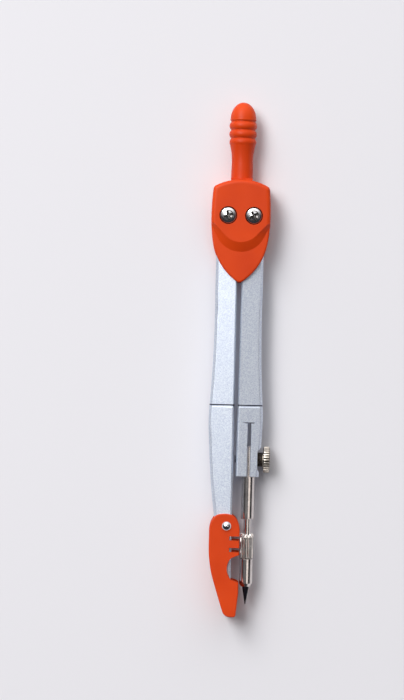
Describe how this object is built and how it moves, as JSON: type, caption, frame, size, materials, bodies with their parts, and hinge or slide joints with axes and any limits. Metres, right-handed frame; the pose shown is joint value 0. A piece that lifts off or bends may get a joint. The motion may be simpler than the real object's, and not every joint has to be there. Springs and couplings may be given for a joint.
{
  "type": "drawing compass",
  "caption": "School drawing compass: geared legs on a turned finger grip, a needle under a swinging guard and a pencil lead in a chuck held by a knurled clamp.",
  "frame": {"origin": "midway between the two leg pivots, on the back face of the rear cover", "axes": "the compass lies on its back: +X towards the lead leg, +Y along the compass towards the finger grip, +Z out of the front cover"},
  "size_m": [0.0203, 0.1609, 0.0124],
  "materials": {
    "orange_plastic": "satin moulded plastic",
    "silver_paint": "cast aluminium with sparkling silver lacquer",
    "bright_chrome": "polished plating",
    "plated_steel": "zinc plated",
    "needle_steel": "ground steel",
    "nickel_brass": "nickel-washed brass",
    "nickel": "nickel plating on turned brass",
    "graphite": "sharpened graphite"
  },
  "bodies": {
    "head": {"grip": "orange_plastic", "rear_cover": "orange_plastic", "front_cover": "orange_plastic", "left_pivot_screw": "bright_chrome", "right_pivot_screw": "bright_chrome", "left_pivot_nut": "plated_steel", "right_pivot_nut": "plated_steel", "left_spring_washer": "plated_steel", "right_spring_washer": "plated_steel"},
    "needle_leg_body": {"needle_leg": "silver_paint", "needle": "needle_steel", "cover_rivet": "bright_chrome"},
    "needle_guard": {"needle_cover": "orange_plastic"},
    "lead_leg_body": {"lead_leg": "silver_paint"},
    "clamp_shank": {"clamp_screw": "plated_steel"},
    "clamp_wheel": {"thumb_wheel": "nickel_brass"},
    "lead_holder": {"holder_rod": "nickel", "lead_collet": "nickel"},
    "sleeve": {"chuck_sleeve": "nickel"},
    "knurled_nut": {"chuck_nut": "nickel"},
    "pencil_lead": {"lead": "graphite"}
  },
  "joints": [
    {"name": "lead_leg_hinge", "type": "hinge", "parent": "head", "child": "lead_leg_body", "pos_m": [0.004, 0, 0.006], "axis": [0, 0, 1], "range_deg": [0, 50]},
    {"name": "needle_leg_hinge", "type": "hinge", "parent": "head", "child": "needle_leg_body", "pos_m": [-0.004, 0, 0.006], "axis": [0, 0, 1], "range_deg": [-50, 0]},
    {"name": "guard_hinge", "type": "hinge", "parent": "needle_leg_body", "child": "needle_guard", "pos_m": [-0.00205, -0.0969, 0.006], "axis": [0, 0, -1], "range_deg": [0, 120]},
    {"name": "clamp_screw_travel", "type": "slide", "parent": "lead_leg_body", "child": "clamp_shank", "axis": [1, 0, 0], "range_m": [0, 0.00135]},
    {"name": "thumb_wheel_turn", "type": "hinge", "parent": "clamp_shank", "child": "clamp_wheel", "pos_m": [0.01, -0.0761, 0.0042], "axis": [1, 0, 0], "range_deg": [0, 1080]},
    {"name": "holder_slide", "type": "slide", "parent": "lead_leg_body", "child": "lead_holder", "axis": [0, -1, 0], "range_m": [0, 0.009]},
    {"name": "chuck_travel", "type": "slide", "parent": "lead_holder", "child": "sleeve", "axis": [0, -1, 0], "range_m": [0, 0.000525]},
    {"name": "chuck_nut_turn", "type": "hinge", "parent": "sleeve", "child": "knurled_nut", "pos_m": [0.0044, -0.103, 0.00675], "axis": [0, -1, 0], "range_deg": [0, 540]},
    {"name": "lead_feed", "type": "slide", "parent": "lead_holder", "child": "pencil_lead", "axis": [0, -1, 0], "range_m": [-0.0007, 0.01]}
  ],
  "couplings": [
    {"joint": "needle_leg_hinge", "follows": "lead_leg_hinge", "ratio": -1},
    {"joint": "thumb_wheel_turn", "follows": "clamp_screw_travel", "rad_per_m": 13963},
    {"joint": "chuck_nut_turn", "follows": "chuck_travel", "rad_per_m": 17952}
  ]
}
